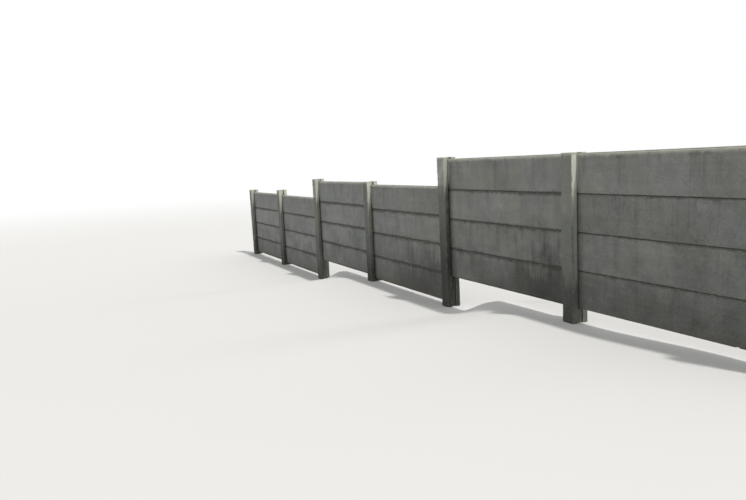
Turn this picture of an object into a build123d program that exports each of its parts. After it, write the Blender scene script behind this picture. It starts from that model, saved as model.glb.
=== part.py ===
"""A stepped run of precast concrete panel fence.

Slotted posts stand in a row that climbs in steps. Between each two posts a bay of flat
panels is stacked in the slots, each panel's tongue in the groove of the one above.
The bays step up along +X. The front is -Y, and the origin is at the middle of the
foot of post_1, the lowest post.
"""
import os
from build123d import *

# The run: bays, courses and levels
bay_count = 6
course_count = 4
bays_per_level = 2
level_step = 335
# How far each bay sits off its level, counted from the first bay
bay_offsets = (0, -20, -15, -55, -20, -20)

# Panels
panel_length = 2400
panel_height = 400
panel_thickness = 50
panel_arris = 7
tongue_width = 18
tongue_height = 10
tongue_taper = 3
groove_clearance = 2

# Posts
post_face = 170
post_depth = 200
post_arris = 8
head_arris = 6
slot_width = 64
slot_depth = 58
slot_flare = 5
slot_root_radius = 5
groove_depth = 20
end_clearance = 8
# How far each foot runs below the lowest panel that the post carries
foot_drops = (70, 50, 50, 45, 50, 155, 100)
# How far each head stands above the highest panel that the post carries
head_rises = (70, 110, 55, 20, 35, 20, 30)

# Worked out from the values above
web = post_face - 2 * slot_depth
pitch = panel_length + web + 2 * end_clearance
bay_height = course_count * panel_height
panel_middle_y = (slot_width - panel_thickness) / 2
panel_start = web / 2 + end_clearance
tongue_half = tongue_width / 2
tongue_tip = tongue_half - tongue_taper
groove_half = tongue_half + groove_clearance
groove_tip = tongue_tip + groove_clearance
groove_rise = tongue_height + groove_clearance


def cycle(values, index):
    """The value for one bay or post of the run, repeated where the run is longer."""
    return values[index % len(values)]


def bay_underside(bay):
    """Height of the underside of a bay's lowest panel."""
    steps = bay // bays_per_level
    return foot_drops[0] + steps * level_step + cycle(bay_offsets, bay)


def neighbours(post):
    """The bays in a post's left and right slots; an end post repeats its only bay."""
    left = max(post - 1, 0)
    right = min(post, bay_count - 1)
    return left, right


def slot_plan(side, depth):
    """Plan of a slot in one side of a post: flared at its mouth, rounded at its root."""
    mouth = side * post_face / 2
    neck = mouth - side * slot_flare
    root = mouth - side * depth
    half = slot_width / 2
    flared = half + slot_flare
    with BuildSketch() as plan:
        with BuildLine():
            Polyline(
                (mouth, flared),
                (neck, half),
                (root, half),
                (root, -half),
                (neck, -half),
                (mouth, -flared),
                close=True,
            )
        make_face()
        corners = plan.vertices().sort_by(Axis.X, reverse=side < 0)[0:2]
        fillet(corners, slot_root_radius)
    return plan.sketch


def make_post(post):
    """A post of slotted section, from its foot to its head."""
    left_bay, right_bay = neighbours(post)
    left_sill = bay_underside(left_bay)
    right_sill = bay_underside(right_bay)
    foot = min(left_sill, right_sill) - cycle(foot_drops, post)
    head = max(left_sill, right_sill) + bay_height + cycle(head_rises, post)
    place = Plane.XY.offset(foot)
    slots = [
        (slot_plan(side, slot_depth), slot_plan(side, groove_depth), sill)
        for side, sill in ((-1, left_sill), (1, right_sill))
    ]
    with BuildPart() as column:
        with BuildSketch(place):
            Rectangle(post_face, post_depth)
            chamfer(vertices(), post_arris)
        extrude(amount=head - foot)
        chamfer(faces().sort_by(Axis.Z)[-1].edges(), head_arris)
        for slot, groove, sill in slots:
            # The slot stops on a sill that carries the lowest panel
            with BuildSketch(Plane.XY.offset(sill)):
                add(slot)
            extrude(amount=head - sill, mode=Mode.SUBTRACT)
            # Below the sill it runs on to the foot as a shallow groove
            with BuildSketch(place):
                add(groove)
            extrude(amount=sill - foot, mode=Mode.SUBTRACT)
    return column.part.moved(Location((post * pitch, 0, 0)))


def make_panel(bay, course):
    """A flat panel with a tongue along its top edge and a groove along its underside."""
    half = panel_thickness / 2
    shoulder = half - panel_arris
    start = bay * pitch + panel_start
    underside = bay_underside(bay) + course * panel_height
    place = Plane(origin=(start, panel_middle_y, underside), x_dir=(0, 1, 0), z_dir=(1, 0, 0))
    with BuildPart() as panel:
        with BuildSketch(place):
            with BuildLine():
                Polyline(
                    (-shoulder, 0),
                    (-half, panel_arris),
                    (-half, panel_height - panel_arris),
                    (-shoulder, panel_height),
                    (-tongue_half, panel_height),
                    (-tongue_tip, panel_height + tongue_height),
                    (tongue_tip, panel_height + tongue_height),
                    (tongue_half, panel_height),
                    (shoulder, panel_height),
                    (half, panel_height - panel_arris),
                    (half, panel_arris),
                    (shoulder, 0),
                    (groove_half, 0),
                    (groove_tip, groove_rise),
                    (-groove_tip, groove_rise),
                    (-groove_half, 0),
                    close=True,
                )
            make_face()
        extrude(amount=panel_length)
    return panel.part


def save(part, name):
    """Label a finished piece and write it under the same name."""
    part.label = name
    export_step(part, f"parts/{name}.step")


os.makedirs("parts", exist_ok=True)
for post in range(bay_count + 1):
    save(make_post(post), f"post_{post + 1}")
for bay in range(bay_count):
    for course in range(course_count):
        save(make_panel(bay, course), f"bay_{bay + 1}_panel_{course + 1}")
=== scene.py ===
"""Looks of a stepped run of precast concrete panel fence."""
import math
import bmesh
import bpy
import numpy as np
from mathutils import Matrix, Vector


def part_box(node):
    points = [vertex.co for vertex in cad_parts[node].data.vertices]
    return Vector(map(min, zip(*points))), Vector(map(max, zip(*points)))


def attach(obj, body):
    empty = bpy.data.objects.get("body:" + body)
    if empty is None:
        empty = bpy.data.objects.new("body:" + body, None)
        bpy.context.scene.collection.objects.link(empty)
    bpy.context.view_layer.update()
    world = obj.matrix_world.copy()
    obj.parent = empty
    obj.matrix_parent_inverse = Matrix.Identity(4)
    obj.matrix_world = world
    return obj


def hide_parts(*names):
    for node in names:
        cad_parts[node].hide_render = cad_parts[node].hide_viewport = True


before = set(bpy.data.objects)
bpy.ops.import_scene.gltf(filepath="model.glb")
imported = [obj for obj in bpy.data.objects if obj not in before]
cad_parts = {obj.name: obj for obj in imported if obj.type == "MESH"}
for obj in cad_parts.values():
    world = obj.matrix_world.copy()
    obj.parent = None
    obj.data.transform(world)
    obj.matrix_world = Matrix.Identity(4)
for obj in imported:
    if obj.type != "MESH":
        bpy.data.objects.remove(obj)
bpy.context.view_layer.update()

BAYS = 6
COURSES = 4
POSTS = BAYS + 1

# The sections of the posts and panels, in metres, as the solids have them
POST_FACE = 0.170
POST_DEPTH = 0.200
POST_ARRIS = 0.008
HEAD_ARRIS = 0.006
SLOT_WIDTH = 0.064
SLOT_DEPTH = 0.058
SLOT_FLARE = 0.005
GROOVE_DEPTH = 0.020
PANEL_THICKNESS = 0.050
PANEL_HEIGHT = 0.400
PANEL_ARRIS = 0.007
TONGUE_HALF = 0.009
TONGUE_TIP = 0.006
TONGUE_HEIGHT = 0.010
GROOVE_CLEARANCE = 0.002

# How finely the meshes follow the concrete along a panel or up a post, in metres, and how
# near to each other or to a sill two rings of points may lie
MESH_STEP = 0.016
LEAST_STEP = 0.0015
SILL_GAP = 0.004
# How far the faces wave, and how far the arrises are worn: a little all along, more in places
PANEL_WAVE = 0.0018
POST_WAVE = 0.0015
WORN_ARRIS = 0.0008
PANEL_NIBBLE = 0.0035
POST_NIBBLE = 0.0038
NIBBLE_SIZE = 0.035
# The chips: from how many to below how many a panel has, how many a post has and how many of
# those are on its head, then their least and greatest radius
PANEL_CHIPS = (5, 9)
POST_CHIPS = 11
HEAD_CHIPS = 3
SMALL_RADIUS = (0.009, 0.019)
LARGE_RADIUS = (0.020, 0.032)
HEAD_RADIUS = (0.014, 0.028)
# How far the chips keep from a panel's ends, and from a post's foot and top
PANEL_INSET = 0.08
POST_INSET = 0.05
# A break this deep shows all of its gravel, as does an arris of a post worn this far
FULL_BREAK = 0.003
FULL_RUB = 0.008
# This far in front of the fence the floor climbs evenly from post to post
OPEN_FLOOR = 1.0

# How darkly the lower part of each post is stained, and how strong the painted shade is at
# its slots' mouths and on the panels' ends beside it
POST_STAINS = (0.8, 0.8, 0.9, 0.85, 2.2, 0.35, 0.6)
# How dark a line is drawn down one front arris of each post
ARRIS_RUNS = (0, 0, 0, 0, 0, 1, 0.5)
# How strongly painted sunlight lightens the +X side of each post's head
BLEACHINGS = (0.7, 0.75, 0.75, 1.0, 0.5, 1.0, 1.0)
# How far dirt spreads from the joints of each bay
JOINT_SPREADS = (2.4, 2.4, 2.7, 2.45, 2.2, 1.2)
# From this place toward the run's low end the panels grow paler, over this length
FADE_START = 10.6
FADE_LENGTH = 3.5
# The middles of two places along the run where the foot of the panels is darker, partly damp
# and partly painted shadow of plants
FAR_WET = 9.2
NEAR_WET = 11.9

post_boxes = [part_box(f"post_{k + 1}") for k in range(POSTS)]
panel_boxes = {
    (b, c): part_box(f"bay_{b + 1}_panel_{c + 1}") for b in range(BAYS) for c in range(COURSES)
}
post_x = np.array([(low.x + high.x) / 2 for low, high in post_boxes])
foot_z = np.array([low.z for low, high in post_boxes])
bay_underside = [panel_boxes[b, 0][0].z for b in range(BAYS)]


def ease(t):
    """0 to 1, smooth at both ends."""
    t = np.clip(t, 0, 1)
    return t * t * (3 - 2 * t)


def floor_height(x, y=0.0):
    """Height of the floor by the fence: level at each foot, then up a bank to the next post's,
    which rises sooner under the panels where the run steps up."""
    x = np.asarray(x, float)
    k = np.clip(np.searchsorted(post_x, x) - 1, 0, POSTS - 2)
    from_post = x - post_x[k]
    climb = foot_z[k + 1] - foot_z[k]
    bank = climb * ease((from_post - 0.2) / 1.7)
    sooner = climb * ease((from_post - 0.3) / 0.9)
    share = np.where(climb > 0.2, 1 - ease((np.abs(y) - 0.05) / 0.4), 0)
    return foot_z[k] + bank + (sooner - bank) * share


# Repeatable noise for the shapes

def lattice(ix, iy, iz, seed):
    """A repeatable random number from 0 to 1 for each lattice point."""
    h = (ix * 374761393 + iy * 668265263 + iz * 1440662683 + seed * 1274126177) & 0xFFFFFFFF
    h = ((h ^ (h >> 13)) * 1103515245) & 0xFFFFFFFF
    return ((h ^ (h >> 16)) & 0xFFFF) / 65535


def noise(points, size, seed):
    """Smooth noise from 0 to 1, with lumps about size metres across."""
    p = np.asarray(points, float) / size + 4096
    base = np.floor(p).astype(np.int64)
    t = ease(p - base)
    total = np.zeros(len(p))
    for dx in (0, 1):
        for dy in (0, 1):
            for dz in (0, 1):
                weight = (
                    (t[:, 0] if dx else 1 - t[:, 0])
                    * (t[:, 1] if dy else 1 - t[:, 1])
                    * (t[:, 2] if dz else 1 - t[:, 2])
                )
                total += weight * lattice(base[:, 0] + dx, base[:, 1] + dy, base[:, 2] + dz, seed)
    return total


# Meshes

def inward(ring):
    """Unit vectors into a ring that runs anticlockwise."""
    along = np.roll(ring, -1, axis=0) - np.roll(ring, 1, axis=0)
    normal = np.stack([-along[:, 1], along[:, 0]], axis=1)
    return normal / np.linalg.norm(normal, axis=1, keepdims=True)


def grid_mesh(name, rings):
    """A closed mesh through rings of points, with a cap on each end."""
    count, size = rings.shape[:2]
    i = np.arange(size)
    j = (i + 1) % size
    quads = []
    for r in range(count - 1):
        a, b = r * size, (r + 1) * size
        quads.extend(np.stack([a + i, a + j, b + j, b + i], axis=1).tolist())
    caps = [list(range(size))[::-1], [(count - 1) * size + int(k) for k in i]]
    mesh = bpy.data.meshes.new(name)
    mesh.from_pydata(rings.reshape(-1, 3).tolist(), [], quads + caps)
    mesh.update()
    return mesh


def store(mesh, **layers):
    """Numbers on each vertex, for the materials to read."""
    for name, values in layers.items():
        layer = mesh.attributes.new(name, "FLOAT", "POINT")
        filled = np.broadcast_to(np.asarray(values, np.float32), (len(mesh.vertices),))
        layer.data.foreach_set("value", np.ascontiguousarray(filled))


def mend(mesh):
    """Merge points that lie on each other, and cut the end caps into sound triangles."""
    work = bmesh.new()
    work.from_mesh(mesh)
    bmesh.ops.remove_doubles(work, verts=work.verts, dist=1e-6)
    caps = [face for face in work.faces if len(face.verts) > 4]
    bmesh.ops.triangulate(work, faces=caps, ngon_method="BEAUTY")
    work.to_mesh(mesh)
    work.free()


def scoop(points, centre, radius, seed):
    """Push points out of a lumpy ball, as where a chip has broken away; returns how far."""
    away = points - centre
    distance = np.linalg.norm(away, axis=1)
    reach = radius * (0.7 + 0.6 * noise(points, radius * 0.5, seed))
    push = np.where(distance < reach, reach - distance, 0)
    points += away / np.maximum(distance, 1e-6)[:, None] * push[:, None]
    return push


def stations(start, end, chips):
    """Even steps from start to end, with finer ones at each chip's centre and radius."""
    even = np.linspace(start, end, int((end - start) / MESH_STEP) + 2)
    fine = [c + r * s for c, r in chips for s in (-0.9, -0.7, -0.45, -0.2, 0.05, 0.3, 0.55, 0.8)]
    values = np.sort(np.concatenate([even, [v for v in fine if start < v < end]]))
    keep = np.append(np.diff(values) > LEAST_STEP, True)
    keep[0] = True
    return values[keep]


def faded(x):
    """How much paler the panels are toward the run's low end."""
    return ease((FADE_START - x) / FADE_LENGTH)


def soaked(x):
    """How much darker the foot of the panels is in two places, partly damp and partly painted
    shadow of plants; the near one is darker and ends at a post."""
    far = np.exp(-(((x - FAR_WET) / 0.8) ** 2))
    near = 1.5 * np.exp(-(((x - NEAR_WET) / 0.45) ** 2)) * (x < post_x[5])
    return far + near


def dress(mesh, node, material):
    """Show a mesh in place of its CAD node."""
    piece = bpy.data.objects.new(f"{node}_weathered", mesh)
    bpy.context.scene.collection.objects.link(piece)
    mesh.materials.append(material)
    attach(piece, "root")
    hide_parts(node)


def panel_ring():
    """The panel's section in y and z, from its middle and its underside, anticlockwise."""
    half = PANEL_THICKNESS / 2
    shoulder = half - PANEL_ARRIS
    height = PANEL_HEIGHT
    near = [PANEL_ARRIS + s for s in (0, 0.005, 0.012, 0.022, 0.036)]
    middle = list(np.linspace(near[-1], height - near[-1], 8)[1:-1])
    levels = near + middle + [height - z for z in reversed(near)]
    bevel = PANEL_ARRIS * 0.42
    right = [(shoulder, 0), (half - bevel, bevel)] + [(half, z) for z in levels]
    right += [(half - bevel, height - bevel), (shoulder, height)]
    tongue = [(TONGUE_HALF, height), (TONGUE_TIP, height + TONGUE_HEIGHT)]
    groove_tip = TONGUE_TIP + GROOVE_CLEARANCE
    groove = [(-TONGUE_HALF - GROOVE_CLEARANCE, 0), (-groove_tip, TONGUE_HEIGHT + GROOVE_CLEARANCE)]
    top = tongue + [(-y, z) for y, z in reversed(tongue)]
    left = [(-y, z) for y, z in reversed(right)]
    under = groove + [(-y, z) for y, z in reversed(groove)]
    return np.array(right + top + left + under)


def make_panel(bay, course, material):
    """A flat panel with worn arrises, small chips and faces that wave a little."""
    low, high = panel_boxes[bay, course]
    seed = 100 + bay * 10 + course
    rng = np.random.default_rng(seed)
    half = PANEL_THICKNESS / 2
    middle_y = (low.y + high.y) / 2
    chips = []
    for chip in range(rng.integers(*PANEL_CHIPS)):
        radius = rng.uniform(*SMALL_RADIUS) if chip else rng.uniform(*LARGE_RADIUS)
        x = rng.uniform(low.x + PANEL_INSET, high.x - PANEL_INSET)
        side, at_top = rng.choice((-1, 1)), rng.choice((0, 1))
        z = low.z + at_top * PANEL_HEIGHT + (0.3 if at_top else -0.3) * radius
        chips.append((np.array([x, middle_y + side * (half + radius * 0.3), z]), radius))
        if rng.random() < 0.5:
            chips.append((chips[-1][0] + np.array([radius * 1.1, 0, 0]), radius * 0.7))
    ring = panel_ring()
    xs = stations(low.x, high.x, [(c[0], r) for c, r in chips])
    count, size = len(xs), len(ring)
    rings = np.zeros((count, size, 3))
    rings[:, :, 0] = xs[:, None]
    rings[:, :, 1] = ring[None, :, 0] + middle_y
    rings[:, :, 2] = ring[None, :, 1] + low.z
    points = rings.reshape(-1, 3)
    into = np.tile(np.column_stack([np.zeros(size), inward(ring)]), (count, 1))
    z = np.tile(ring[:, 1], count)
    faces = np.tile(np.abs(ring[:, 0]) > half - PANEL_ARRIS - 0.0005, count)
    rise = np.clip(z, 0, PANEL_HEIGHT)
    edge = np.minimum(rise, PANEL_HEIGHT - rise)
    wave = PANEL_WAVE * noise(points, 0.5, seed) * faces
    nibble = np.clip((noise(points, NIBBLE_SIZE, seed + 1) - 0.62) / 0.2, 0, 1)
    sharp = faces * np.exp(-np.maximum(edge - 0.003, 0) / 0.004)
    rub = sharp * (WORN_ARRIS + PANEL_NIBBLE * nibble)
    points += into * (wave + rub)[:, None]
    broken = np.clip(rub / FULL_BREAK, 0, 1)
    for number, (centre, radius) in enumerate(chips):
        push = scoop(points, centre, radius, seed + 2 + number)
        broken = np.maximum(broken, np.clip(push / FULL_BREAK, 0, 1))
    node = f"bay_{bay + 1}_panel_{course + 1}"
    mesh = grid_mesh(f"{node}_weathered", rings)
    x = points[:, 0]
    # Dirt reaches further down from a joint than up from it
    top_course = course == COURSES - 1
    joint = rise / (0.7 * JOINT_SPREADS[bay])
    if not top_course:
        joint = np.minimum(joint, (PANEL_HEIGHT - rise) / (1.3 * JOINT_SPREADS[bay]))
    from_left, from_right = x - post_x[bay], post_x[bay + 1] - x
    store(
        mesh,
        tone=rng.uniform(-1, 1),
        depth=PANEL_HEIGHT - rise,
        joint=joint,
        crest=(PANEL_HEIGHT - rise) if top_course else 1,
        beside=np.minimum(from_left, from_right) - POST_FACE / 2,
        stain=np.where(from_left < from_right, POST_STAINS[bay], POST_STAINS[bay + 1]),
        height=points[:, 2] - floor_height(x, OPEN_FLOOR),
        faded=faded(x),
        soaked=soaked(x),
        broken=broken,
    )
    mend(mesh)
    dress(mesh, node, material)


# How many pieces each side of half the post's ring has, from its front arris round
SIDE_PIECES = (1, 5, 1, 1, 1, 3, 1, 1, 1, 5, 1, 10)


def subdivided(corners):
    """The post's ring with the same number of points whatever its slots."""
    out = []
    for i, a in enumerate(corners):
        b = corners[(i + 1) % len(corners)]
        pieces = SIDE_PIECES[i % len(SIDE_PIECES)]
        out += [
            (a[0] + (b[0] - a[0]) * j / pieces, a[1] + (b[1] - a[1]) * j / pieces)
            for j in range(pieces)
        ]
    return np.array(out)


def post_ring(left_depth, right_depth):
    """The post's section in x and y, with the depth of the slot in each side."""
    fx, fy = POST_FACE / 2, POST_DEPTH / 2
    half = SLOT_WIDTH / 2
    flared = half + SLOT_FLARE

    def side(depth):
        lower = [
            (fx - POST_ARRIS, -fy),
            (fx, -fy + POST_ARRIS),
            (fx, -flared),
            (fx - SLOT_FLARE, -half),
            (fx - GROOVE_DEPTH, -half),
            (fx - depth, -half),
        ]
        return lower + [(x, -y) for x, y in reversed(lower)]

    return subdivided(side(right_depth) + [(-x, -y) for x, y in side(left_depth)])


def make_post(index, material):
    """A slotted post with worn arrises, chipped corners and a slightly uneven head."""
    low, high = post_boxes[index]
    seed = 500 + index * 20
    rng = np.random.default_rng(seed)
    fx, fy = POST_FACE / 2, POST_DEPTH / 2
    chips = []
    for chip in range(POST_CHIPS):
        at_head = chip < HEAD_CHIPS
        radius = rng.uniform(*HEAD_RADIUS) if at_head else rng.uniform(*SMALL_RADIUS)
        x = rng.uniform(-fx, fx) if at_head and chip else rng.choice((-1, 1)) * (fx + radius * 0.25)
        if at_head:
            z = high.z + radius * 0.35
        else:
            z = rng.uniform(low.z + POST_INSET, high.z - POST_INSET)
        y = rng.choice((-1, 1)) * (fy + radius * 0.25)
        chips.append((np.array([post_x[index] + x, y, z]), radius))
    left_sill = bay_underside[max(index - 1, 0)]
    right_sill = bay_underside[min(index, BAYS - 1)]
    levels = stations(low.z, high.z - HEAD_ARRIS, [(c[2], r) for c, r in chips])
    levels = [z for z in levels if min(abs(z - left_sill), abs(z - right_sill)) > SILL_GAP]
    # The rings' heights, each with whether it lies above the sills. At a sill there are two, one
    # with the groove below it and one with the slot above
    layers = [(z, z > left_sill, z > right_sill) for z in levels] + [(high.z, True, True)]
    for sill in {left_sill, right_sill}:
        for above in (False, True):
            in_left = above if sill == left_sill else sill > left_sill
            in_right = above if sill == right_sill else sill > right_sill
            layers.append((sill, in_left, in_right))
    layers.sort()
    depths = {True: SLOT_DEPTH, False: GROOVE_DEPTH}
    ring = np.array([post_ring(depths[in_left], depths[in_right]) for z, in_left, in_right in layers])
    count, size = ring.shape[:2]
    rings = np.zeros((count, size, 3))
    rings[:, :, 0] = ring[:, :, 0] + post_x[index]
    rings[:, :, 1] = ring[:, :, 1]
    rings[:, :, 2] = np.array([z for z, in_left, in_right in layers])[:, None]
    points = rings.reshape(-1, 3)
    across = ring.reshape(-1, 2)
    into = np.column_stack([np.concatenate([inward(r) for r in ring]), np.zeros(count * size)])
    shell = (np.abs(across[:, 1]) > fy - POST_ARRIS - 1e-4) | (np.abs(across[:, 0]) > fx - 1e-4)
    corner_gap = np.hypot(np.abs(across[:, 0]) - fx, np.abs(across[:, 1]) - fy)
    mouth_y = SLOT_WIDTH / 2 + SLOT_FLARE
    mouth_gap = np.hypot(np.abs(across[:, 0]) - fx, np.abs(across[:, 1]) - mouth_y)
    sharp = np.exp(-np.maximum(np.minimum(corner_gap - 0.006, mouth_gap), 0) / 0.006) * shell
    wave = POST_WAVE * noise(points, 0.35, seed) * shell
    nibble = np.clip((noise(points, NIBBLE_SIZE, seed + 1) - 0.6) / 0.2, 0, 1)
    rub = sharp * (WORN_ARRIS + POST_NIBBLE * nibble)
    bevel = np.zeros((count, size))
    bevel[-1] = HEAD_ARRIS
    points += into * (wave + rub + bevel.ravel() * shell)[:, None]
    broken = np.clip(rub / FULL_RUB, 0, 1)
    for number, (centre, radius) in enumerate(chips):
        push = scoop(points, centre, radius, seed + 2 + number)
        broken = np.maximum(broken, np.clip(push / FULL_BREAK, 0, 1))
    node = f"post_{index + 1}"
    mesh = grid_mesh(f"{node}_weathered", rings)
    depth = high.z - points[:, 2]
    lower_top = min(left_sill, right_sill) + COURSES * PANEL_HEIGHT
    from_arris = np.hypot(across[:, 0] - fx, across[:, 1] + fy)
    at_mouth = np.where(np.abs(across[:, 0]) > fx - 0.006, np.abs(across[:, 1]) - SLOT_WIDTH / 2, 0)
    on_face = np.where(np.abs(across[:, 1]) > fy - 1e-4, 1, 0)
    # Damp climbs less on a post that is little stained
    cleaner = 1 + 1.7 * max(0.0, 0.9 - POST_STAINS[index])
    store(
        mesh,
        tone=rng.uniform(-1, 1),
        depth=depth,
        mouth=at_mouth + on_face,
        crest=depth,
        height=(points[:, 2] - low.z) * cleaner,
        below=lower_top - points[:, 2],
        proud=ease((points[:, 2] - lower_top) / 0.06) * ease((high.z - lower_top) / 0.3),
        faded=0,
        soaked=0,
        stain=POST_STAINS[index],
        bleached=BLEACHINGS[index],
        arris=ARRIS_RUNS[index] * np.clip(1.5 - from_arris / 0.016, 0, 1),
        broken=broken,
    )
    mend(mesh)
    dress(mesh, node, material)


# Materials

# Between these two a noise texture's values nearly all lie
NOISE_RANGE = (0.3, 0.7)


class Nodes:
    """Short calls for a material's nodes."""

    def __init__(self, name):
        self.material = bpy.data.materials.new(name)
        self.material.use_nodes = True
        self.tree = self.material.node_tree
        self.shader = self.tree.nodes["Principled BSDF"]

    def put(self, socket, value):
        """Link a socket to another node's, or set it to a constant."""
        if isinstance(value, bpy.types.NodeSocket):
            self.tree.links.new(value, socket)
        else:
            socket.default_value = value

    def node(self, kind, inputs, output=0, **settings):
        made = self.tree.nodes.new(kind)
        for name, value in settings.items():
            setattr(made, name, value)
        for name, value in inputs.items():
            self.put(made.inputs[name], value)
        return made.outputs[output]

    def math(self, operation, a, b=0.0):
        return self.node("ShaderNodeMath", {0: a, 1: b}, operation=operation)

    def add(self, *values):
        total = values[0]
        for value in values[1:]:
            total = self.math("ADD", total, value)
        return total

    def times(self, *values):
        total = values[0]
        for value in values[1:]:
            total = self.math("MULTIPLY", total, value)
        return total

    def read(self, name):
        return self.node("ShaderNodeAttribute", {}, "Fac", attribute_name=name)

    def stretch(self, vector, scale):
        return self.node("ShaderNodeVectorMath", {0: vector, 1: scale}, operation="MULTIPLY")

    def shift(self, vector, offset):
        return self.node("ShaderNodeVectorMath", {0: vector, 1: offset}, operation="ADD")

    def noise(self, vector, scale, detail=3.0, roughness=0.55):
        inputs = {"Vector": vector, "Scale": scale, "Detail": detail, "Roughness": roughness}
        return self.node("ShaderNodeTexNoise", inputs)

    def cells(self, vector, scale, output, **settings):
        """One output of a pattern of cells, scale of them to the metre."""
        return self.node("ShaderNodeTexVoronoi", {"Vector": vector, "Scale": scale}, output, **settings)

    def channel(self, colour, index):
        return self.node("ShaderNodeSeparateColor", {0: colour}, index)

    def ramp(self, value, low, high, to_low=0.0, to_high=1.0):
        """A smooth step between two levels while a value goes from low to high."""
        levels = {"From Min": low, "From Max": high, "To Min": to_low, "To Max": to_high}
        inputs = {"Value": value, **levels}
        return self.node("ShaderNodeMapRange", inputs, interpolation_type="SMOOTHSTEP")

    def spread(self, noise, to_low, to_high):
        """A noise's usual range, spread over two levels."""
        return self.ramp(noise, *NOISE_RANGE, to_low, to_high)

    def mix(self, share, a, b, blend="MIX"):
        made = self.tree.nodes.new("ShaderNodeMix")
        made.data_type = "RGBA"
        made.blend_type = blend
        self.put(made.inputs[0], share)
        self.put(made.inputs[6], a)
        self.put(made.inputs[7], b)
        return made.outputs[2]

    def scaled(self, colour, factor):
        grey = self.node("ShaderNodeCombineColor", {0: factor, 1: factor, 2: factor})
        return self.mix(1.0, colour, grey, "MULTIPLY")

    def darkened(self, colour, share):
        return self.scaled(colour, self.math("SUBTRACT", 1.0, share))


def srgb(r, g, b):
    """A colour written as 0 to 255, for a node's colour socket."""
    parts = [c / 255 for c in (r, g, b)]
    return (*[c / 12.92 if c <= 0.04045 else ((c + 0.055) / 1.055) ** 2.4 for c in parts], 1.0)


# Pale for the heads where they stand free, also used as painted sunlight on the posts' +X sides and as
# painted light on the panels' ends inside the slots' tops
BLEACHED = srgb(210, 212, 199)
# A dark colour for painted shade at the slots' mouths and in the corners beside the posts
GRIME = srgb(50, 51, 46)
JOINT_DIRT = srgb(52, 52, 48)
SMEARED_DIRT = srgb(58, 58, 53)
SPLASHED_DIRT = srgb(104, 92, 76)
MOSS = srgb(72, 78, 60)
HOLE = srgb(46, 46, 42)
CRACK = srgb(48, 48, 44)


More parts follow.
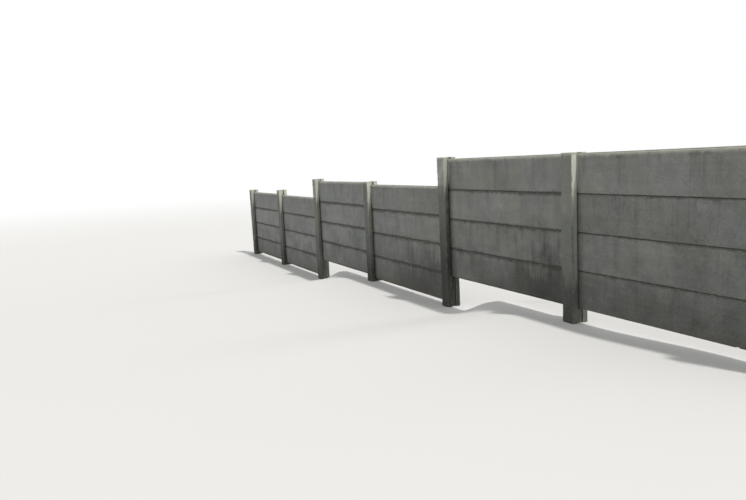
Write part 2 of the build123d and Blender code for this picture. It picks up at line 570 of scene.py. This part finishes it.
class Concrete(Nodes):
    """Cast concrete. Each method adds one kind of marks to a colour.

    The marks follow numbers on the vertices. depth, height, crest, below, joint, beside and
    mouth are distances in metres: from the piece's top, its foot, an open top, the top of the
    lower bay, the nearest joint, the nearest post and a slot. joint and height are scaled for
    how far dirt spreads there. tone is a random number for the piece, from -1 to 1, and the
    others are shares or strengths.
    """

    def __init__(self, name):
        super().__init__(name)
        self.place = self.node("ShaderNodeTexCoord", {}, "Object")
        self.tone = self.read("tone")
        self.depth = self.read("depth")
        self.height = self.read("height")
        self.crest = self.read("crest")
        self.broken = self.read("broken")
        # Each piece has a place of its own in the textures, so that no two have the same marks
        moved = self.node("ShaderNodeCombineXYZ", {0: self.tone, 1: self.tone, 2: self.tone})
        self.own = self.shift(self.place, self.stretch(moved, (31, 17, 23)))
        # Textures that several kinds of marks follow
        self.patch = self.noise(self.own, 7, 4, 0.6)
        self.speck = self.noise(self.own, 48, 3, 0.6)
        self.grain = self.noise(self.own, 260, 3, 0.7)
        self.screed = self.noise(self.stretch(self.own, (0.6, 0.6, 30)), 1.0, 4, 0.6)
        self.stone = self.channel(self.cells(self.own, 150.0, "Color"), 0)
        self.column = self.noise(self.stretch(self.place, (15, 15, 0.5)), 1.0, 4, 0.65)

    def mottling(self, warm, cool):
        """The base colour, mottled from metres down to grains, and how light it is."""
        # Paler and cooler toward the run's low end
        faded = self.read("faded")
        shade = self.add(
            1.0,
            self.spread(self.noise(self.own, 1.3, 5, 0.6), -0.12, 0.12),
            self.spread(self.patch, -0.09, 0.09),
            self.spread(self.speck, -0.07, 0.07),
            self.ramp(self.grain, 0.34, 0.66, -0.17, 0.17),
            self.spread(self.screed, -0.04, 0.04),
            self.times(self.tone, 0.08),
            self.times(faded, 0.21),
        )
        coolness = self.ramp(self.noise(self.own, 2.2, 4, 0.6), 0.35, 0.65)
        colour = self.mix(self.math("MAXIMUM", coolness, faded), warm, cool)
        return self.scaled(colour, shade), shade

    def rain_runs(self, colour, pale):
        """Runs that start at an edge and fade at their own length, and a pale bloom."""
        reach = self.spread(self.noise(self.stretch(self.own, (6, 6, 0.2)), 1.0, 3), 0.0, 0.42)
        left_to_run = self.math("SUBTRACT", reach, self.depth)
        drip = self.times(self.ramp(self.column, 0.46, 0.66), self.ramp(left_to_run, -0.10, 0.12), 0.17)
        colour = self.darkened(colour, drip)
        elsewhere = self.shift(self.place, (3.7, 1.9, 0))
        lime_column = self.noise(self.stretch(elsewhere, (24, 24, 0.7)), 1.0, 4, 0.6)
        lime = self.times(self.ramp(lime_column, 0.60, 0.72), self.ramp(left_to_run, -0.05, 0.2), 0.22)
        bloom = self.ramp(self.noise(self.own, 3.1, 6, 0.68), 0.57, 0.76, 0.0, 0.22)
        return self.mix(self.math("MAXIMUM", lime, bloom), colour, pale)

    def damp_foot(self, colour, dark):
        """Damp; two darker patches, partly damp and partly painted shadow of plants; moss and
        splashed dirt; all upward from the foot.
        """
        damp_edge = self.add(self.height, self.spread(self.noise(self.place, 2.3, 5, 0.6), -0.35, 0.35))
        damp = self.ramp(damp_edge, 0.1, 1.25, 0.58, 0.0)
        colour = self.mix(damp, colour, dark)
        # Two darker patches at the panels' foot, partly damp and partly painted shadow of plants
        streaks = self.spread(self.column, 0.22, -0.22)
        lumps = self.spread(self.noise(self.place, 2.3, 2), -0.15, 0.15)
        wet_edge = self.add(self.height, streaks, lumps)
        wet = self.times(self.read("soaked"), self.ramp(wet_edge, 0.30, 0.95, 0.35, 0.0))
        colour = self.darkened(colour, wet)
        moss = self.times(damp, self.ramp(self.noise(self.place, 6.5, 5, 0.65), 0.5, 0.68, 0.0, 0.35))
        colour = self.mix(moss, colour, MOSS)
        uneven = self.spread(self.noise(self.place, 13, 5, 0.65), -0.07, 0.07)
        splash = self.ramp(self.add(self.height, uneven), 0.0, 0.2, 0.5, 0.0)
        return self.mix(splash, colour, SPLASHED_DIRT)

    def post_marks(self, colour, dark):
        """Painted sunlight on the +X side near the head, and paler concrete where the post stands
        free; then stained downward, with painted shade on the sides at the slots' mouths and a
        dark line down one arris."""
        normal = self.node("ShaderNodeNewGeometry", {}, "True Normal")
        turned = self.node(
            "ShaderNodeVectorMath", {0: normal, 1: (1, 0, 0)}, "Value", operation="DOT_PRODUCT"
        )
        stain = self.read("stain")
        fading = self.add(self.depth, self.spread(self.column, -0.10, 0.10))
        below = self.add(self.read("below"), self.spread(self.column, -0.08, 0.08))
        at_once = self.ramp(below, -0.03, 0.15, 0.0, 0.19)
        lower_down = self.ramp(below, 0.2, 1.3, 0.0, 0.28)
        stained = self.times(self.add(at_once, lower_down), stain)
        # Painted sunlight: the side that faces +X is made paler near the head, where the sun falls on
        # it
        bleach = self.times(self.ramp(turned, 0.4, 0.9), self.ramp(fading, 0.28, 0.60, 0.92, 0.33))
        bleach = self.times(bleach, self.ramp(stained, 0.0, 0.6, 1.0, 0.35), self.read("bleached"))
        free = self.times(self.read("proud"), self.spread(self.patch, 0.10, 0.30))
        colour = self.mix(self.math("MAXIMUM", bleach, free), colour, BLEACHED)
        colour = self.mix(stained, colour, dark)
        foot = self.ramp(below, 1.27, 1.38, 0.0, 0.55)
        colour = self.mix(foot, colour, dark)
        # Painted shade on the post's sides at the slots' mouths, weaker near the head where the sun
        # reaches
        uneven = self.spread(self.noise(self.place, 11, 4, 0.6), -0.02, 0.02)
        at_mouth = self.ramp(self.add(self.read("mouth"), uneven), 0.0, 0.05, 0.31, 0.0)
        mouth = self.times(at_mouth, self.ramp(self.depth, 0.1, 0.6, 0.1, 1.0), stain)
        colour = self.mix(mouth, colour, GRIME)
        # A broken dark line down the post's front arris on the +X side, below the head
        gaps = self.noise(self.stretch(self.place, (1, 1, 0.4)), 16, 4, 0.6)
        shown = self.ramp(gaps, 0.32, 0.6, 0.35, 1.0)
        run = self.times(self.read("arris"), self.ramp(fading, 0.35, 0.85), shown, 0.62)
        return self.mix(run, colour, dark)

    def panel_marks(self, colour):
        """Dirt in the joints, painted shade in the corners beside the posts, and painted light on
        the panels' ends in the slots' tops.
        """
        width = self.spread(self.noise(self.own, 3.5, 5, 0.65), 1.7, 0.7)
        joint_edge = self.add(
            self.times(self.read("joint"), width),
            self.spread(self.noise(self.place, 30, 5, 0.7), -0.004, 0.004),
        )
        colour = self.mix(self.ramp(joint_edge, 0.002, 0.019, 0.74, 0.0), colour, JOINT_DIRT)
        smear_edge = self.add(self.depth, self.spread(self.noise(self.place, 21, 4, 0.6), -0.02, 0.02))
        smears = self.noise(self.stretch(self.own, (6, 6, 14)), 1.0, 4, 0.6)
        smear = self.times(
            self.ramp(smears, 0.52, 0.68, 0.0, 0.34), self.ramp(smear_edge, 0.02, 0.075, 1.0, 0.0)
        )
        colour = self.mix(smear, colour, SMEARED_DIRT)
        # Painted shade on the panels' ends in the corners beside the posts, weaker near the top
        beside = self.read("beside")
        near_post = self.times(
            self.ramp(beside, 0.010, 0.080, 1.0, 0.0),
            self.ramp(self.crest, 0.20, 0.46),
            self.spread(self.noise(self.stretch(self.place, (1, 1, 0.3)), 9, 4), 0.6, 1.0),
        )
        corner = self.times(near_post, self.add(0.12, self.times(self.read("stain"), 0.23)))
        colour = self.mix(corner, colour, GRIME)
        # Painted light on the panels' ends inside the slots' tops, where the slot lies in shade
        film = self.times(
            self.ramp(beside, -0.002, 0.006, 0.85, 0.0), self.ramp(self.crest, 0.18, 0.42, 1.0, 0.0)
        )
        return self.mix(film, colour, BLEACHED)

    def worn_places(self, colour, pale):
        """Pale tops, partly wear and partly a painted highlight along the sunlit top; and gravel
        in the chips.
        """
        # The pale band along the top is partly wear and partly a painted highlight of the sun on the
        # top
        uneven = self.spread(self.noise(self.place, 30, 5, 0.7), -0.010, 0.010)
        worn = self.ramp(self.add(self.crest, uneven), 0.008, 0.042, 0.80, 0.0)
        colour = self.mix(worn, colour, self.scaled(pale, self.spread(self.patch, 0.72, 0.95)))
        gravel = self.scaled(pale, self.ramp(self.stone, 0.0, 1.0, 0.62, 1.08))
        shown = self.times(self.broken, self.ramp(self.grain, 0.35, 0.6, 0.3, 0.6))
        return self.mix(shown, colour, gravel)

    def air_holes(self, colour, pale):
        """Air holes of many sizes in loose groups, with pale grit between; also where they are."""
        drawn = self.cells(self.own, 48.0, "Color")
        chosen = self.channel(drawn, 0)
        sized = self.channel(drawn, 1)
        radius = self.add(0.015, self.times(sized, sized, sized, 0.16))
        past = self.math("SUBTRACT", self.cells(self.own, 48.0, "Distance"), radius)
        grouped = self.add(chosen, self.ramp(self.noise(self.own, 5, 3), 0.35, 0.7, -0.34, 0.10))
        large = self.times(self.ramp(past, -0.03, 0.012, 1.0, 0.0), self.ramp(grouped, 0.70, 0.72))
        tiny_drawn = self.channel(self.cells(self.own, 170.0, "Color"), 0)
        dot = self.ramp(self.cells(self.own, 170.0, "Distance"), 0.14, 0.30, 1.0, 0.0)
        often = self.add(tiny_drawn, self.ramp(self.noise(self.own, 4, 3), 0.35, 0.7, -0.16, 0.06))
        hole = self.math("MAXIMUM", large, self.times(dot, self.ramp(often, 0.86, 0.88)))
        colour = self.mix(self.times(hole, 0.62), colour, HOLE)
        grit = self.times(dot, self.ramp(tiny_drawn, 0.07, 0.05), 0.4)
        return self.mix(grit, colour, pale), hole

    def cracks(self, colour):
        """Crazing in patches and here and there a hairline crack; also where they are."""
        inputs = {"Vector": self.own, "Scale": 9.0, "Detail": 4.0}
        sway = self.node("ShaderNodeTexNoise", inputs, "Color")
        offset = self.stretch(self.shift(sway, (-0.5, -0.5, -0.5)), (0.07, 0.07, 0.07))
        swayed = self.shift(self.own, offset)
        fine = self.cells(swayed, 17.0, "Distance", feature="DISTANCE_TO_EDGE")
        coarse = self.cells(swayed, 1.4, "Distance", feature="DISTANCE_TO_EDGE")
        in_patches = self.ramp(self.noise(self.own, 2.6, 3), 0.5, 0.62)
        seldom = self.ramp(self.noise(self.own, 0.9, 2), 0.56, 0.6)
        crazed = self.times(self.ramp(fine, 0.0, 0.014, 0.3, 0.0), in_patches)
        cracked = self.times(self.ramp(coarse, 0.0, 0.0015, 0.45, 0.0), seldom)
        hairline = self.math("MAXIMUM", crazed, cracked)
        return self.mix(hairline, colour, CRACK), hairline


def concrete(name, warm, cool, pale, dark, is_post):
    """The weathered concrete of the posts or of the panels."""
    n = Concrete(name)
    colour, shade = n.mottling(warm, cool)
    dark = n.scaled(dark, n.add(-0.25, n.times(shade, 1.25)))
    colour = n.rain_runs(colour, pale)
    colour = n.damp_foot(colour, dark)
    colour = n.post_marks(colour, dark) if is_post else n.panel_marks(colour)
    colour = n.worn_places(colour, pale)
    colour, hole = n.air_holes(colour, pale)
    colour, hairline = n.cracks(colour)
    relief = n.add(
        n.times(n.grain, 0.0014),
        n.times(n.speck, 0.0020),
        n.times(n.patch, 0.004),
        n.times(n.screed, 0.0016),
        n.times(hole, -0.003),
        n.times(hairline, -0.002),
        n.times(n.broken, n.stone, 0.0025),
    )
    bump = n.node("ShaderNodeBump", {"Height": relief, "Distance": 1.0, "Strength": 1.0})
    n.put(n.shader.inputs["Normal"], bump)
    n.put(n.shader.inputs["Base Color"], colour)
    n.put(n.shader.inputs["Roughness"], n.spread(n.patch, 0.82, 0.95))
    n.shader.inputs["Specular IOR Level"].default_value = 0.25
    return n.material


panel_material = concrete(
    "panel_concrete",
    warm=srgb(121, 121, 116),
    cool=srgb(118, 120, 118),
    pale=srgb(176, 177, 166),
    dark=srgb(79, 81, 78),
    is_post=False,
)
post_material = concrete(
    "post_concrete",
    warm=srgb(117, 118, 110),
    cool=srgb(113, 116, 111),
    pale=srgb(183, 184, 171),
    dark=srgb(60, 62, 59),
    is_post=True,
)

for bay in range(BAYS):
    for course in range(COURSES):
        make_panel(bay, course, panel_material)
for index in range(POSTS):
    make_post(index, post_material)


# Floor, light and camera

def make_floor():
    """A plain pale floor that the feet stand on, fading to white far from the fence."""
    reach = 90
    xs = np.concatenate([[-reach, -20, -6], np.arange(-2, post_x[-1] + 2, 0.05), [22, 36, reach]])
    near = [0.1, 0.17, 0.24, 0.32, 0.41, 0.5, 0.6, 0.8]
    far = [1, 1.5, 2.1, 2.8, 3.6, 4.5, 6, 12, 30, reach]
    away = np.array(near + far)
    ys = np.concatenate([-away[::-1], away])
    gx, gy = np.meshgrid(xs, ys, indexing="ij")
    slope = foot_z[-1] * ease(gx / post_x[-1])
    bank = floor_height(np.clip(gx, post_x[0], post_x[-1]), gy)
    just_under = 0.001
    gz = bank + (slope - bank) * ease((np.abs(gy) - 0.4) / 4.5) - just_under
    size = len(ys)
    faces = [
        (i * size + j, (i + 1) * size + j, (i + 1) * size + j + 1, i * size + j + 1)
        for i in range(len(xs) - 1)
        for j in range(size - 1)
    ]
    mesh = bpy.data.meshes.new("floor")
    mesh.from_pydata(np.stack([gx, gy, gz], axis=-1).reshape(-1, 3).tolist(), [], faces)
    mesh.shade_smooth()
    floor = bpy.data.objects.new("floor", mesh)
    bpy.context.scene.collection.objects.link(floor)
    n = Nodes("floor")
    n.shader.inputs["Base Color"].default_value = (0.64, 0.64, 0.63, 1)
    n.shader.inputs["Roughness"].default_value = 0.9
    n.shader.inputs["Specular IOR Level"].default_value = 0.1
    place = n.node("ShaderNodeTexCoord", {}, "Object")
    from_middle = n.shift(place, (-7.5, 0, 0))
    distance = n.node("ShaderNodeVectorMath", {0: from_middle}, "Value", operation="LENGTH")
    camera_ray = n.node("ShaderNodeLightPath", {}, "Is Camera Ray")
    white = n.node("ShaderNodeEmission", {"Color": (1, 1, 1, 1), "Strength": 1.0})
    share = n.times(n.ramp(distance, 12, 45), camera_ray)
    mixed = n.node("ShaderNodeMixShader", {0: share, 1: n.shader.outputs[0], 2: white})
    n.put(n.tree.nodes["Material Output"].inputs["Surface"], mixed)
    mesh.materials.append(n.material)


def make_light():
    """A soft high sun from behind the fence, and an even white sky."""
    lamp = bpy.data.lights.new("sun", "SUN")
    lamp.energy = 2.4
    lamp.angle = math.radians(3)
    lamp.color = (1.0, 0.98, 0.94)
    sun = bpy.data.objects.new("sun", lamp)
    sun.rotation_mode = "QUATERNION"
    toward_sun = Vector((0.45, 0.148, 0.87))
    sun.rotation_quaternion = toward_sun.to_track_quat("Z", "Y")
    bpy.context.scene.collection.objects.link(sun)
    sky_light, sky_seen = 0.68, 1.0
    world = bpy.data.worlds.new("sky")
    bpy.context.scene.world = world
    world.use_nodes = True
    tree = world.node_tree
    back = tree.nodes["Background"]
    back.inputs["Color"].default_value = (1, 1, 1, 1)
    path = tree.nodes.new("ShaderNodeLightPath")
    seen = path.outputs["Is Camera Ray"]
    for extra in ("Is Glossy Ray", "Is Transmission Ray"):
        join = tree.nodes.new("ShaderNodeMath")
        join.operation = "MAXIMUM"
        tree.links.new(seen, join.inputs[0])
        tree.links.new(path.outputs[extra], join.inputs[1])
        seen = join.outputs[0]
    level = tree.nodes.new("ShaderNodeMapRange")
    level.inputs["To Min"].default_value = sky_light
    level.inputs["To Max"].default_value = sky_seen
    tree.links.new(seen, level.inputs["Value"])
    tree.links.new(level.outputs[0], back.inputs["Strength"])


def make_camera():
    """A camera at the photograph's place and angle, found from the fence's joint lines."""
    place = Vector((17.681, -4.813, 2.365))
    focal_px = 665.3
    photo_width_px = 746
    yaw, pitch, roll = math.radians(64.92), math.radians(7.68), math.radians(-2.97)
    level_share = math.cos(pitch)
    ahead = Vector((-math.sin(yaw) * level_share, math.cos(yaw) * level_share, -math.sin(pitch)))
    level = Vector((math.cos(yaw), math.sin(yaw), 0))
    above = level.cross(ahead)
    right = math.cos(roll) * level + math.sin(roll) * above
    up = -math.sin(roll) * level + math.cos(roll) * above
    data = bpy.data.cameras.new("camera")
    data.sensor_width = 36
    data.lens = focal_px * data.sensor_width / photo_width_px
    data.clip_end = 500
    camera = bpy.data.objects.new("camera", data)
    turn = Matrix((right, up, -ahead)).transposed().to_4x4()
    camera.matrix_world = Matrix.Translation(place) @ turn
    bpy.context.scene.collection.objects.link(camera)
    bpy.context.scene.camera = camera


make_floor()
make_light()
make_camera()
bpy.context.scene.view_settings.view_transform = "Standard"
